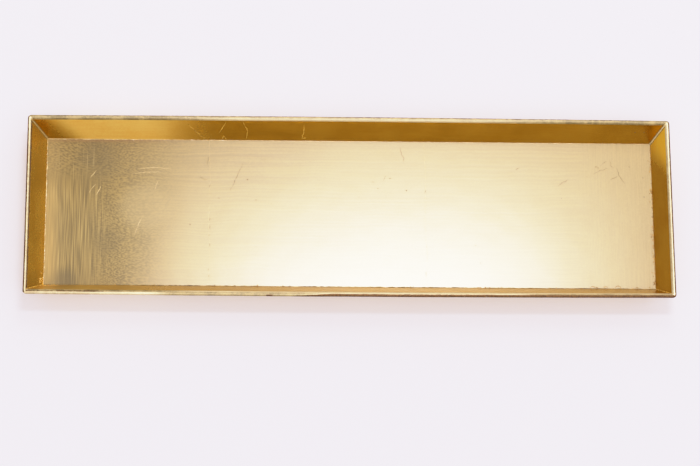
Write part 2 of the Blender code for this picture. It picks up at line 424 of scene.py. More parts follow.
def rim_painted_shade(tree, x, y, outward):
    """How khaki the long rims are: painted shade on the parts of the rims that the light misses, on their
    curves and at the back rim's ends. outward is how far out a place lies, with the rims' bow taken off.
    """
    back_ends = tree.most(tree.step(x, -0.050, -0.130), tree.step(x, 0.040, 0.150))
    back_outer = tree.step(outward, 0.0565, 0.0571, 0.0, 0.9)
    at_back = tree.times(tree.most(back_ends, back_outer), tree.step(y, 0.0, 0.03))
    front_left = tree.steps((outward, 0.0570, 0.0564), (x, -0.08, -0.13))
    off_middle = tree.size_of(tree.math("SUBTRACT", x, 0.045))
    front_outer = tree.steps((outward, 0.0560, 0.0566), (off_middle, 0.055, 0.075), (x, -0.13, -0.11))
    at_front = tree.times(tree.most(front_left, front_outer), tree.step(y, 0.0, -0.03))
    past_mitre = tree.sum((tree.size_of(x), 1.0), (tree.size_of(y), -1.0))
    on_long = tree.step(past_mitre, MITRE + 0.3 * MM, MITRE - 0.3 * MM)
    return tree.times(tree.most(at_back, at_front), on_long)


def rim_leaf():
    """Leaf along the rim, pale with painted highlight, with painted khaki shade and cream painted highlights,
    and the brown ground showing where bare is high.
    """
    tree = new_material("rim_leaf_finish")
    place = tree.place()
    x, y, z = tree.parts(place)
    bow = RIM_BOW / (LENGTH / 2) ** 2
    outward = tree.sum((tree.size_of(y), 1.0), (tree.times(x, x), bow))
    dull = rim_painted_shade(tree, x, y, outward)
    bare = rubbed_through(tree, place, 420.0, 0.84)
    grain = tree.noise(place, 900.0, 4.0, 0.65)
    shade = tree.sum((tree.noise(place, 150.0, 4.0, 0.6), 0.6), (grain, 0.4))
    leaf = tree.tones(shade, 0.12, (0.50, 0.35, 0.14), (0.72, 0.57, 0.31))
    # Khaki here is painted shade.
    leaf = tree.blend(dull, leaf, tree.tones(shade, 0.12, (0.24, 0.165, 0.055), (0.52, 0.38, 0.155)))
    # Painted highlight: cream along the front rim's left part and the back rim's inner half, where light
    # glints on the rim.
    front = tree.steps((y, -0.050, -0.056), (x, -0.19, -0.10))
    back = tree.steps((y, 0.03, 0.05), (outward, 0.0571, 0.0565))
    bright = tree.times(tree.most(front, back), tree.step(dull, 1.0, 0.0), 0.6)
    leaf = tree.blend(bright, leaf, colour(0.92, 0.76, 0.46))
    ground = tree.tones(grain, 0.15, (0.080, 0.034, 0.012), (0.22, 0.105, 0.034))
    return tree.finish(
        Base_Color=tree.blend(bare, leaf, ground),
        Metallic=tree.mix(bare, 0.35, 0.6),
        Roughness=tree.gloss(shade, 0.35, 0.5),
        Normal=tree.bump(tree.sum((shade, 0.7), (bare, -0.6)), 0.00003, 0.4),
        Coat_Weight=tree.mix(bare, tree.mix(dull, 1.0, 0.4), 0.0),
        Coat_Roughness=0.3,
        Coat_IOR=1.9,
    )


def grained(name, patch_scale, grain_scale, grain_share):
    """A new material, a shade with a share of fine grain in soft patches, and the grain alone."""
    tree = new_material(name)
    place = tree.place()
    grain = tree.noise(place, grain_scale, 4.0, 0.65)
    patches = tree.noise(place, patch_scale, 3.0)
    return tree, tree.sum((patches, 1 - grain_share), (grain, grain_share)), grain


def ridge_leaf():
    """Leaf over the widest mitre ridge, where the varnish brush caught. Its pale colour is mostly a painted
    highlight standing for the glint along the ridge.
    """
    tree, shade, grain = grained("ridge_leaf_finish", 380.0, 1500.0, 0.4)
    return tree.finish(
        Base_Color=tree.tones(shade, 0.14, (0.72, 0.50, 0.20), (0.95, 0.80, 0.50)),
        Metallic=0.05,
        Roughness=tree.gloss(shade, 0.28, 0.42),
        Normal=tree.bump(shade, 0.00003, 0.5),
        Coat_Weight=1.0,
        Coat_Roughness=0.2,
        Coat_IOR=1.8,
    )


def lap_leaf():
    """The edge of a leaf square, a shade paler than the leaf beside it."""
    tree, shade, grain = grained("lap_leaf_finish", 130.0, 900.0, 0.4)
    return tree.finish(
        Base_Color=tree.tones(shade, 0.14, (0.46, 0.29, 0.070), (0.68, 0.47, 0.155)),
        Metallic=0.3,
        Roughness=tree.gloss(shade, 0.42, 0.54),
        Normal=tree.bump(shade, 0.00002, 0.4),
        Coat_Weight=1.0,
        Coat_Roughness=0.22,
        Coat_IOR=1.8,
    )


def bare_ground():
    """The brown ground seen through cracks and lost specks of leaf."""
    tree, shade, grain = grained("bare_ground_finish", 160.0, 1800.0, 0.5)
    return tree.finish(
        Base_Color=tree.tones(shade, 0.12, (0.13, 0.075, 0.022), (0.30, 0.195, 0.06)),
        Metallic=0.1,
        Roughness=tree.gloss(shade, 0.45, 0.6),
        Normal=tree.bump(grain, 0.00002, 0.5),
        Coat_Weight=0.15,
        Coat_Roughness=0.3,
    )


def amber_varnish():
    """Varnish that gathered and set in small amber beads."""
    return set_varnish("amber_varnish_finish", (0.26, 0.125, 0.014), (0.50, 0.28, 0.045), 0.25)


def loose_gold():
    """Crumpled leaf and varnish, bright as foil. Their bright colours are partly painted highlight, standing
    for glints on the crumples.
    """
    return set_varnish("loose_gold_finish", (0.50, 0.24, 0.016), (1.0, 0.62, 0.10), 1.0)


def set_varnish(name, deep, pale, coat):
    tree = new_material(name)
    grain = tree.noise(tree.place(), 900.0, 3.0)
    return tree.finish(
        Base_Color=tree.tones(grain, 0.12, deep, pale),
        Metallic=0.1,
        Roughness=tree.gloss(grain, 0.25, 0.4),
        Normal=tree.bump(grain, 0.00004, 0.4),
        Coat_Weight=coat,
        Coat_Roughness=0.12,
    )


def underside_paint():
    """The brown ground, brushed along the tray and left without leaf under it."""
    tree = new_material("underside_finish")
    place = tree.place()
    strokes = tree.noise(tree.bend(place, 16.0, 0.01), (14.0, 620.0, 620.0), 5.0, 0.7)
    shade = tree.sum((strokes, 0.7), (tree.noise(place, 34.0, 3.0), 0.3))
    return tree.finish(
        Base_Color=tree.tones(shade, 0.12, (0.060, 0.025, 0.014), (0.115, 0.052, 0.028)),
        Roughness=tree.gloss(shade, 0.38, 0.58),
        Normal=tree.bump(shade, 0.00006, 0.6),
        Coat_Weight=0.25,
        Coat_Roughness=0.35,
    )


def pad_felt():
    tree = new_material("pad_felt_finish")
    place = tree.place()
    fluff = tree.noise(place, 2600.0, 5.0, 0.7)
    shade = tree.sum((fluff, 0.6), (tree.noise(place, 320.0, 3.0), 0.4))
    return tree.finish(
        Base_Color=tree.tones(shade, 0.15, (0.035, 0.024, 0.017), (0.11, 0.080, 0.060)),
        Roughness=tree.gloss(shade, 0.88, 1.0),
        Sheen_Weight=0.4,
        Normal=tree.bump(fluff, 0.0002, 0.9),
    )


def pin_steel():
    tree = new_material("pin_steel_finish")
    place = tree.place()
    scratches = tree.noise(place, (5200.0, 5200.0, 700.0), 4.0, 0.7)
    tarnish = tree.noise(place, 900.0, 3.0)
    return tree.finish(
        Base_Color=tree.tones(tarnish, 0.10, (0.30, 0.27, 0.24), (0.52, 0.51, 0.50)),
        Metallic=1.0,
        Roughness=tree.gloss(scratches, 0.28, 0.5),
        Normal=tree.bump(scratches, 0.00001, 0.5),
    )


def spline_ply():
    """The splines' outer edge, sanded flush with the corner and leafed over with it."""
    tree = new_material("spline_ply_finish")
    fibres = tree.noise(tree.place(), (180.0, 180.0, 2600.0), 4.0, 0.7)
    return tree.finish(
        Base_Color=tree.tones(fibres, 0.15, (0.58, 0.335, 0.038), (0.69, 0.435, 0.066)),
        Metallic=1.0,
        Roughness=tree.gloss(fibres, 0.22, 0.32),
        Normal=tree.bump(fibres, 0.00002, 0.4),
    )


# The tray's form


def clamped(value, low=0.0, high=1.0):
    return min(max(value, low), high)


def smooth_step(value, low, high):
    share = clamped((value - low) / (high - low))
    return share * share * (3 - 2 * share)


def outward_half(size, setback):
    """Half the tray's size at a point of a wall's profile that lies setback in from the sharp outer arris."""
    return size / 2 + ARRIS_LOSS - setback


def inner_half(size, z):
    return outward_half(size, (RIM_Z - z) * SLOPE + ACROSS)


def wall_sizes(facing):
    """The tray's size across a wall, and along it."""
    return (LENGTH, WIDTH) if facing.x else (WIDTH, LENGTH)


def along_axis(facing):
    return Vector((abs(facing.y), abs(facing.x), 0))


def bowed(point):
    """Draws the long rims in towards the corners. The floor's edges stay straight."""
    along = point.x / (LENGTH / 2)
    height = clamped((point.z - FLOOR_Z) / (RIM_Z - FLOOR_Z))
    across = point.y / (WIDTH / 2)
    return point - Vector((0, RIM_BOW * along * along * height * across, 0))


def skew_at(z):
    """How far the inner faces lie to the right at a height: not at all at the rim, and most at the floor."""
    return FLOOR_SKEW * clamped((ARRIS_Z - z) / (ARRIS_Z - FLOOR_Z))


def skewed(point):
    """Moves a place on the inner faces or on the floor to where the boards really stand."""
    to_front = clamped(-point.y / inner_half(WIDTH, FLOOR_Z))
    to_left = clamped(0.5 - point.x / LENGTH)
    beside_left = smooth_step(-point.x, *LEFT_FOOT)
    to_rim = clamped((point.z - FLOOR_Z) / (ARRIS_Z - FLOOR_Z))
    shift_x = skew_at(point.z) - LEFT_THINNER * beside_left * to_rim
    return point + Vector((shift_x, FRONT_THICKER * to_front * to_left, 0))


def waved(point, outward, to_end):
    """Gives a board the faint waves of hand sanding. They die out at the mitres."""
    calm = clamped(to_end / WAVE_CALM)
    sway = noise.noise(point * 28.0) + 0.5 * noise.noise(point * 90.0) - 0.8
    return point + outward * (sway * BOARD_WAVE * calm)


def floor_z(x, y):
    """The floor's height: flat, but for faint waves."""
    place = Vector((x, y, 0.0))
    return FLOOR_Z + FLOOR_WAVE * (noise.noise(place * 30.0) + 0.4 * noise.noise(place * 110.0))


def on_floor(x, y):
    """A point of the floor, and the direction that the floor looks in there."""
    return Vector((x, y, floor_z(x, y))), UP


def inner_looking(facing):
    """The direction that a wall's inner face looks in."""
    return UP * math.sin(LEAN) - facing * math.cos(LEAN)


def outer_half(size, z):
    return outward_half(size, (RIM_Z - z) * SLOPE)


def on_wall(facing, half, along, z):
    """A point of a wall's face, where half gives half the tray's size between such faces."""
    across_size, along_size = wall_sizes(facing)
    point = facing * half(across_size, z) + along_axis(facing) * along + UP * z
    return bowed(waved(point, facing, half(along_size, z) - abs(along)))


def on_inner_face(side):
    """Gives a function from (along, z) to a point of a wall's inner face and the direction it looks in."""
    facing = SIDES[side]

    def place(along, z):
        return skewed(on_wall(facing, inner_half, along, z)), inner_looking(facing)

    return place


def on_outer_face(side):
    """Gives a function from (along, z) to a point of a wall's outer face and the direction it looks in."""
    facing = SIDES[side]
    looking = facing * math.cos(LEAN) - UP * math.sin(LEAN)

    def place(along, z):
        return on_wall(facing, outer_half, along, z), looking

    return place


# Places seen in the photograph


def camera_stand():
    """Where the camera stands and how it is turned."""
    turn = Matrix.Rotation(CAMERA_TURN.length, 4, CAMERA_TURN.normalized())
    return Matrix.Translation(CAMERA_PLACE) @ turn


def seen_on_plane(pixel, point, looking):
    """The place at a pixel of the photograph, on the plane through a point that looks in a direction."""
    across, down = pixel
    aim = Vector((across - PHOTO_WIDTH / 2, PHOTO_HEIGHT / 2 - down, -CAMERA_LENS_PIXELS))
    sight = camera_stand().to_3x3() @ aim
    reach = (point - CAMERA_PLACE).dot(looking) / sight.dot(looking)
    return CAMERA_PLACE + sight * reach


def seen_on_floor(pixel):
    """The place on the floor at a pixel, as (x, y) in millimetres."""
    place = seen_on_plane(pixel, UP * FLOOR_Z, UP)
    return place.x / MM, place.y / MM


def seen_on_back_wall(pixel):
    """The place on the back wall's inner face at a pixel, as (x, z) in millimetres."""
    facing = SIDES["back"]
    foot = facing * inner_half(WIDTH, FLOOR_Z) + UP * FLOOR_Z
    place = seen_on_plane(pixel, foot, inner_looking(facing))
    z = clamped(place.z, FLOOR_Z, ARRIS_Z)
    return (place.x - skew_at(z)) / MM, z / MM


# Meshes


def bridge(shape, rings):
    """Closes a skin over rings of vertices, each a loop. Gives the faces, one list for each strip along."""
    count = len(rings[0])
    strips = [[] for number in range(count)]
    for before, after in zip(rings, rings[1:]):
        for number in range(count):
            following = (number + 1) % count
            corners = (before[number], before[following], after[following], after[number])
            strips[number].append(shape.faces.new(corners))
    shape.faces.new(rings[0])
    shape.faces.new(rings[-1])
    return strips


def put_in_scene(name, data):
    made = bpy.data.objects.new(name, data)
    bpy.context.scene.collection.objects.link(made)
    return made


def make_object(name, shape, surfaces):
    """Makes a smooth-shaded object of a closed bmesh. It rides on the tray."""
    bmesh.ops.remove_doubles(shape, verts=shape.verts, dist=1e-7)
    bmesh.ops.dissolve_degenerate(shape, edges=shape.edges, dist=1e-8)
    bmesh.ops.recalc_face_normals(shape, faces=shape.faces)
    mesh = bpy.data.meshes.new(name)
    shape.to_mesh(mesh)
    shape.free()
    mesh.shade_smooth()
    mesh.set_sharp_from_angle(angle=math.radians(38))
    for surface in surfaces:
        mesh.materials.append(surface)
    made = put_in_scene(name, mesh)
    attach(made, "root")
    return made


def arc(centre, radius, start, end, steps):
    """Points on an arc in a wall's profile: how far out, how high, and how far round."""
    for number in range(steps + 1):
        share = number / steps
        turn = start + (end - start) * share
        yield centre[0] + radius * math.cos(turn), centre[1] + radius * math.sin(turn), share


def wall_profile():
    """A wall's section as a loop of (how far out from the sharp arris, z, plan radius, finish, inward).

    inward is 1 on the inner face and 0 on the outer one.
    """
    points = []
    face_steps = 8
    for number in range(face_steps):
        z = FOOT_Z + (ARRIS_Z - FOOT_Z) * number / face_steps
        points.append((-(RIM_Z - z) * SLOPE, z, CORNER_ROUND, "outside", 0.0))
    outer_centre = (-RIM_ROUND, RIM_Z - OUTER_RADIUS)
    for out, z, share in arc(outer_centre, OUTER_RADIUS, -LEAN, math.pi / 2, 10):
        points.append((out, z, CORNER_ROUND + out + (RIM_Z - z) * SLOPE, "rim", 0.0))
    inner_centre = (RIM_ROUND - ACROSS, RIM_Z - INNER_RADIUS)
    for out, z, share in arc(inner_centre, INNER_RADIUS, math.pi / 2, math.pi - LEAN, 12):
        points.append((out, z, (CORNER_ROUND - RIM_ROUND) * (1 - share), "rim", share))
    for number in range(1, face_steps + 1):
        z = ARRIS_Z + (FOOT_Z - ARRIS_Z) * number / face_steps
        points.append((-ACROSS - (RIM_Z - z) * SLOPE, z, 0.0, "inside", 1.0))
    return points


def rim_bareness(side, along, out):
    """How far the rim is rubbed through at a point that lies out from the sharp arris."""
    outer, inner = RUBBED[side]
    facing = SIDES[side]
    loose = 1.0
    line = 0.0
    if side == "front":
        chip = smooth_step(along, *FRONT_CHIP_OPENS) - smooth_step(along, *FRONT_CHIP_CLOSES)
        outer += FRONT_RUB * smooth_step(along, *FRONT_RUB_GROWS) + FRONT_CHIP * chip
        loose = 0.35
        line = 0.75 * smooth_step(along, *FRONT_LINE_GROWS)
    sway = noise.noise(Vector((along * 45.0, facing.x * 7.0, facing.y * 5.0)))
    jitter = noise.noise(Vector((along * 300.0, facing.x, facing.y)))
    wander = 1 + loose * (0.25 * sway + 0.2 * jitter)
    from_outer = -out - ARRIS_LOSS
    from_inner = ACROSS + (RIM_Z - ARRIS_Z) * SLOPE + out
    at_outer = 1 - smooth_step(from_outer, outer * wander - RUB_SOFT, outer * wander + RUB_SOFT)
    at_inner = 1 - smooth_step(from_inner, inner * wander - RUB_SOFT, inner * wander + RUB_SOFT)
    off_line = abs(from_inner - FRONT_LINE_IN)
    on_line = line * (1 - smooth_step(off_line, 0.0002, 0.0006)) * (1 + sway)
    return RUB_DEPTH[side] * max(at_outer, at_inner, on_line)


def wall_rows(side):
    """Rows of (point, bareness), each row one section through the wall, from one mitre to the other."""
    facing = SIDES[side]
    across_size, along_size = wall_sizes(facing)
    along = along_axis(facing)
    corner_steps = 6
    stations = max(int(along_size / SECTION_GAP), 8)
    profile = wall_profile()

    def row(end, turn, share):
        places = []
        for out, z, radius, finish, inward in profile:
            half_across = outward_half(across_size, -out) - radius * (1 - math.cos(turn))
            half_along = outward_half(along_size, -out) - radius
            reach = share * half_along + end * radius * math.sin(turn)
            point = facing * half_across + along * reach + UP * z
            to_end = outward_half(along_size, -out) - abs(reach)
            place = bowed(waved(point, facing, to_end))
            bareness = FOOT_RUB if finish == "outside" and z == FOOT_Z else 0.0
            if finish == "rim":
                bareness = rim_bareness(side, reach, out)
            places.append((place.lerp(skewed(place), inward), bareness))
        return places

    quarter = math.pi / 4
    rows = [row(-1, quarter * (1 - number / corner_steps), -1.0) for number in range(corner_steps)]
    rows += [row(1, 0.0, 2.0 * number / stations - 1.0) for number in range(stations + 1)]
    rows += [row(1, quarter * number / corner_steps, 1.0) for number in range(1, corner_steps + 1)]
    return rows, [point[3] for point in profile]


def make_walls(finishes):
    """The four walls. Each is one closed skin, mitred at its ends."""
    order = ("outside", "rim", "inside", "foot")
    for side in SIDES:
        rows, strip_finishes = wall_rows(side)
        shape = bmesh.new()
        bareness = shape.verts.layers.float.new("bare")
        rings = []
        for row in rows:
            ring = []
            for point, bare in row:
                vertex = shape.verts.new(point)
                vertex[bareness] = bare
                ring.append(vertex)
            rings.append(ring)
        strips = bridge(shape, rings)
        for finish, strip in zip(strip_finishes[1:] + ["foot"], strips):
            for face in strip:
                face.material_index = order.index(finish)
        wall = make_object("leafed_" + side + "_wall", shape, [finishes[key] for key in order])
        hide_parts(side + "_wall")


def make_base(finishes):
    """The floor board, fine enough on top for its waves, plain below."""
    steps_x, steps_y = 192, 48
    half_x, half_y = inner_half(LENGTH, FLOOR_Z), inner_half(WIDTH, FLOOR_Z)
    low_x, low_y = inner_half(LENGTH, FOOT_Z), inner_half(WIDTH, FOOT_Z)
    shape = bmesh.new()
    top = []
    for row in range(steps_y + 1):
        y = half_y * (2 * row / steps_y - 1)
        line = []
        for column in range(steps_x + 1):
            x = half_x * (2 * column / steps_x - 1)
            line.append(shape.verts.new(skewed(Vector((x, y, floor_z(x, y))))))
        top.append(line)
    for before, after in zip(top, top[1:]):
        for column in range(steps_x):
            shape.faces.new((before[column], before[column + 1], after[column + 1], after[column]))
    left = [line[0] for line in top]
    right = [line[-1] for line in top]
    edge = top[0][:-1] + right[:-1] + top[-1][:0:-1] + left[:0:-1]
    foot = []
    for vertex in edge:
        x = FLOOR_SKEW + (vertex.co.x - FLOOR_SKEW) * low_x / half_x
        foot.append(shape.verts.new((x, vertex.co.y * low_y / half_y, FOOT_Z)))
    for number in range(len(edge)):
        following = (number + 1) % len(edge)
        side = shape.faces.new((edge[number], edge[following], foot[following], foot[number]))
        side.material_index = 1
    shape.faces.new(foot).material_index = 1
    base = make_object("leafed_base", shape, [finishes["floor"], finishes["foot"]])
    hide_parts("base_panel")


def make_pads(finishes):
    """Felt discs with soft, slightly frayed edges."""
    soft = 0.0003
    sides = 64
    for corner in CORNERS:
        node = "felt_pad_" + corner
        low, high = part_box(node)
        centre = (low + high) / 2
        radius = (high.x - low.x) / 2
        outline = [(radius - soft, low.z), (radius - soft * 0.3, low.z + soft * 0.3), (radius, low.z + soft)]
        outline += [(out, low.z + high.z - z) for out, z in reversed(outline)]
        shape = bmesh.new()
        rings = []
        for out, z in outline:
            ring = []
            for number in range(sides):
                turn = 2 * math.pi * number / sides
                fray = 1 - 0.012 * abs(noise.noise(Vector((turn * 9.0, z * 3000.0, centre.x * 50.0))))
                place = (centre.x + out * fray * math.cos(turn), centre.y + out * fray * math.sin(turn), z)
                ring.append(shape.verts.new(place))
            rings.append(ring)
        bridge(shape, rings)
        pad = make_object("soft_" + node, shape, [finishes["felt"]])
        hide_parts(node)


# Small relief on the leaf


# Kinds of line: width, height, sideways wander, spacing of the points, unevenness, and whether the ends taper
LINES = {
    "crack": (0.00026, 0.00002, 0.0005, 0.0008, 0.7, True),
    "pale_stroke": (0.0004, 0.000003, 0.0004, 0.0008, 0.5, True),
    "floor_lap": (0.00018, 0.000006, 0.0006, 0.0008, 0.9, False),
    "wall_lap": (0.00018, 0.00001, 0.0005, 0.0008, 0.5, False),
    "fleck": (0.0003, 0.00002, 0.0004, 0.0008, 0.8, True),
    "wrinkle": (0.00050, 0.00007, 0.0005, 0.0008, 0.5, True),
    "outer_wrinkle": (0.0003, 0.00004, 0.0006, 0.0008, 0.8, True),
    "mitre_line": (0.0005, 0.00003, 0.0001, 0.0008, 0.5, False),
    "crumple": (0.0005, 0.0003, 0.0002, 0.0004, 0.5, True),
    "curl": (0.00045, 0.00005, 0.0001, 0.0003, 0.5, True),
}


def trail(corners, step, wander):
    """Places along a line through the corners, which are pairs of metres, with some sideways wandering."""
    corners = [Vector(corner) for corner in corners]
    places = []
    for start, end in zip(corners, corners[1:]):
        pieces = max(round((end - start).length / step), 1)
        places += [start.lerp(end, number / pieces) for number in range(pieces)]
    places.append(corners[-1])
    seed = chance.uniform(0, 100)
    wandered = []
    for number, place in enumerate(places):
        calm = min(number, len(places) - 1 - number, 3) / 3
        sway = noise.noise_vector(Vector((number * 0.35, seed, 0.0)))
        jitter = noise.noise_vector(Vector((number * 1.3, seed, 9.0)))
        wandered.append(place + (sway.xy + 0.5 * jitter.xy) * (wander * calm))
    return wandered


def uneven(count, size, unevenness, tapered=True):
    """Sizes along a trail, uneven as if by hand. They shrink to almost nothing at both ends."""
    seed = chance.uniform(0, 100)
    sizes = []
    for number in range(count):
        share = number / max(count - 1, 1)
        taper = 0.12 + 0.88 * math.sin(math.pi * share) ** 0.6 if tapered else 1.0
        change = 1 + unevenness * noise.noise(Vector((number * 0.6, seed, 3.0))) * 1.6
        sizes.append(size * taper * max(change, 0.08))
    return sizes


def add_ridge(shape, course, width, height, unevenness, tapered=False, sunk=0.00006):
    """Adds a low rounded ridge. course holds a point and the direction that its surface looks in, in turn."""
    widths = uneven(len(course), width, unevenness, tapered)
    heights = uneven(len(course), height, unevenness, tapered)
    steps = 5
    rings = []
    for number, (point, looking) in enumerate(course):
        before = course[max(number - 1, 0)][0]
        after = course[min(number + 1, len(course) - 1)][0]
        side = (after - before).cross(looking).normalized() * widths[number] / 2
        ring = []
        for step in range(steps + 1):
            turn = math.pi * step / steps
            ring.append(point + side * math.cos(turn) + looking * (math.sin(turn) * heights[number]))
        ring.append(point - side - looking * sunk)
        ring.append(point + side - looking * sunk)
        rings.append([shape.verts.new(place) for place in ring])
    bridge(shape, rings)


def add_line(shape, surface, corners, kind):
    """Adds one of the kinds of line along corners given in millimetres on a surface."""
    width, height, wander, spacing, unevenness, tapered = LINES[kind]
    places = trail([(first * MM, second * MM) for first, second in corners], spacing, wander)
    course = [surface(place.x, place.y) for place in places]
    add_ridge(shape, course, width, height, unevenness, tapered)


def add_seen_lines(shape, surface, seen, marks, kind):
    """Adds a line for each mark, through the places on the surface where the photograph shows it."""
    for pixels in marks.values():
        add_line(shape, surface, [seen(pixel) for pixel in pixels], kind)


def add_speck(shape, surface, first, second, size, height):
    """Adds a small uneven dome, with its place in millimetres on a surface."""
    sides = 9
    centre, looking = surface(first * MM, second * MM)
    side = looking.orthogonal().normalized()
    other = looking.cross(side)
    seed = chance.uniform(0, 100)
    rings = []
    for reach, lift in ((1.0, -0.6), (1.0, 0.0), (0.8, 0.62), (0.35, 0.95)):
        ring = []
        for number in range(sides):
            turn = 2 * math.pi * number / sides
            uneven_reach = 1 + 0.45 * noise.noise(Vector((math.cos(turn) * 1.2, math.sin(turn) * 1.2, seed)))
            out = side * math.cos(turn) + other * math.sin(turn)
            place = centre + out * (size / 2 * reach * uneven_reach) + looking * (height * lift)
            ring.append(shape.verts.new(place))
        rings.append(ring)
    bridge(shape, rings)


# Marks in the leaf, named by where they lie, each at the pixels of the photograph where it was seen
FLOOR_CRACKS = {
    "left_long": ((243.5, 162), (240.5, 168.5), (234.5, 181.5), (230, 191)),
    "left_short": ((208.5, 156.5), (207.5, 162), (208.5, 167.5)),
    "left_hook": ((208.5, 178.5), (205, 180), (201, 177.5), (200.5, 175)),
    "middle_far": ((400, 147), (401.5, 154.5), (404, 158.5), (403.5, 163.5)),
    "middle_dash": ((385.5, 175.5), (383, 181.5)),
    "right_slant": ((558, 186), (563.5, 182), (569, 179)),
    "right_dash": ((515.5, 170), (519, 168)),
    "far_right_steep": ((609.5, 160), (610.5, 165.5), (613.5, 168)),
    "far_right_rising": ((600.5, 165.5), (606.5, 161)),
    "far_right_low": ((593.5, 174), (600, 171), (608, 168)),
    "far_right_falling": ((616.5, 167.5), (619, 176), (625, 184)),
    "far_right_end": ((610, 180), (618, 176.5)),
}
FLOOR_SPECKS = {
    "left_upper": (247.5, 179.5),
    "left_lower": (219, 198),
    "left_clear": (256, 200),
    "left_near": (190, 224.5),
    "middle_clear": (378, 188.5),
    "middle_faint": (373, 182),
    "middle_small": (390, 178.5),
    "middle_low": (406.5, 190.5),
    "right_near": (480.5, 263),
    "right_faint": (475.5, 245.5),
    "right_clear": (561.5, 198.5),
    "far_right_big": (596, 167),
    "far_right_tail": (598, 168),
    "far_right_clear": (629, 167),
    "end_upper": (643, 178),
    "end_lower": (644, 197),
}
BACK_WRINKLES = {
    "long_slant": ((186, 121.5), (190, 126), (195, 130), (200, 135), (205, 138.5)),
    "leaning": ((226, 121.5), (221, 130), (218.5, 133.5)),
    "foot_zigzag": ((221.5, 139.5), (224, 136), (226.5, 139.5)),
    "branching": ((243, 122), (246, 127.5), (247.5, 131), (246.5, 139)),
    "upright": ((304, 125), (303.5, 132.5), (302, 138.5)),
    "upright_foot": ((302, 138.5), (306.5, 137.5)),
}
PALE_STROKES = {
    "inner_loop": ((89, 193.5), (91.5, 188.5), (96.5, 183.5)),
    "outer_loop": ((96, 195), (99, 190), (101, 185.5)),
    "level": ((132, 173.5), (146.5, 172), (163.5, 172)),
    "level_upper": ((138, 168.5), (155.5, 167.5), (171.5, 169)),
    "steep": ((154.5, 190), (158, 181)),
    "low": ((142.5, 216.5), (138.5, 224), (134, 236)),
    "crossing": ((90.5, 177.5), (96.5, 170)),
}
WALL_DOTS = {
    "left_lower": (635, 132),
    "right_lower": (644, 132),
    "left_upper": (637, 124.5),
    "right_upper": (643.5, 124.5),
}
# Curls of leaf on the floor's near edge, each by its two feet
FLOOR_CURLS = {
    "left": ((590.5, 288.5), (595, 288.5)),
    "small": ((595.5, 288.5), (598.5, 288.5)),
    "faint": ((603.5, 288.5), (608, 288.5)),
    "clear": ((615, 288.5), (621, 288.5)),
    "right": ((635.5, 289), (638.5, 289)),
}


def make_cracks(finishes):
    """Fine cracks in the leaf, specks lost from it, and pale brush strokes on the floor's dull end."""
    shape = bmesh.new()
    add_seen_lines(shape, on_floor, seen_on_floor, FLOOR_CRACKS, "crack")
    for pixel in FLOOR_SPECKS.values():
        x, y = seen_on_floor(pixel)
        add_speck(shape, on_floor, x, y, chance.uniform(0.0005, 0.0009), 0.00003)
    for number in range(46):
        x = chance.uniform(-190.0, 190.0)
        y = chance.uniform(-46.0, 46.0)
        add_speck(shape, on_floor, x, y, chance.uniform(0.00015, 0.0004), 0.00002)
    for pixel in WALL_DOTS.values():
        x, z = seen_on_back_wall(pixel)
        add_speck(shape, on_inner_face("back"), x, z, 0.0009, 0.00004)
    make_object("leaf_cracks", shape, [finishes["bare"]])
    strokes = bmesh.new()
    add_seen_lines(strokes, on_floor, seen_on_floor, PALE_STROKES, "pale_stroke")
    make_object("pale_strokes", strokes, [finishes["lap"]])


def make_laps(finishes):
    """The edges of the leaf squares, where each lies over its neighbour, with flecks lost along them."""
    shape = bmesh.new()
    flecks = bmesh.new()
    half_y = inner_half(WIDTH, FLOOR_Z) / MM
    for number in range(2):
        x = (FIRST_LAP + number * LEAF_PITCH) / MM
        corners = [(x, -half_y), (x + 0.5, -28.0), (x - 0.4, -2.0), (x + 0.3, 22.0), (x - 0.4, half_y)]
        add_line(shape, on_floor, corners, "floor_lap")
        for fleck in range(7 if number == 0 else 3):
            start = chance.uniform(-44.0, 40.0)
            end = start + chance.uniform(1.0, 4.0)
            corners = [(x + chance.uniform(-0.6, 0.6), start), (x + chance.uniform(-0.6, 0.6), end)]
            add_line(flecks, on_floor, corners, "fleck")
    for side, facing in SIDES.items():
        reach = wall_sizes(facing)[1] / 2 - 0.030
        first = FIRST_LAP if facing.y else FIRST_SIDE_LAP
        for number in range(-2, 4):
            along = first + number * LEAF_PITCH
            if abs(along) < reach:
                start = along / MM + chance.uniform(-3.0, 3.0)
                end = start + chance.uniform(-2.0, 2.0)
                corners = [(start, FOOT_Z / MM + 3.2), (end, ARRIS_Z / MM - 0.2)]
                add_line(shape, on_outer_face(side), corners, "wall_lap")
    make_object("leaf_laps", shape, [finishes["lap"]])
    make_object("lap_flecks", flecks, [finishes["bare"]])


def make_wrinkles(finishes):
    """Wrinkles in the walls' leaf: the photograph's inside the back wall, and others like them outside."""
    shape = bmesh.new()
    add_seen_lines(shape, on_inner_face("back"), seen_on_back_wall, BACK_WRINKLES, "wrinkle")
    for side, facing in SIDES.items():
        half = wall_sizes(facing)[1] / 2 / MM
        for number in range(round(16 * half / 200.0)):
            start = chance.uniform(15.0 - half, half - 20.0)
            low_z = chance.uniform(6.0, 14.0)
            high_z = min(low_z + chance.uniform(3.0, 10.0), 21.0)
            corners = [(start, low_z), (start + chance.uniform(-5.0, 5.0), high_z)]
            add_line(shape, on_outer_face(side), corners, "outer_wrinkle")
    make_object("leaf_wrinkles", shape, [finishes["gold"]])


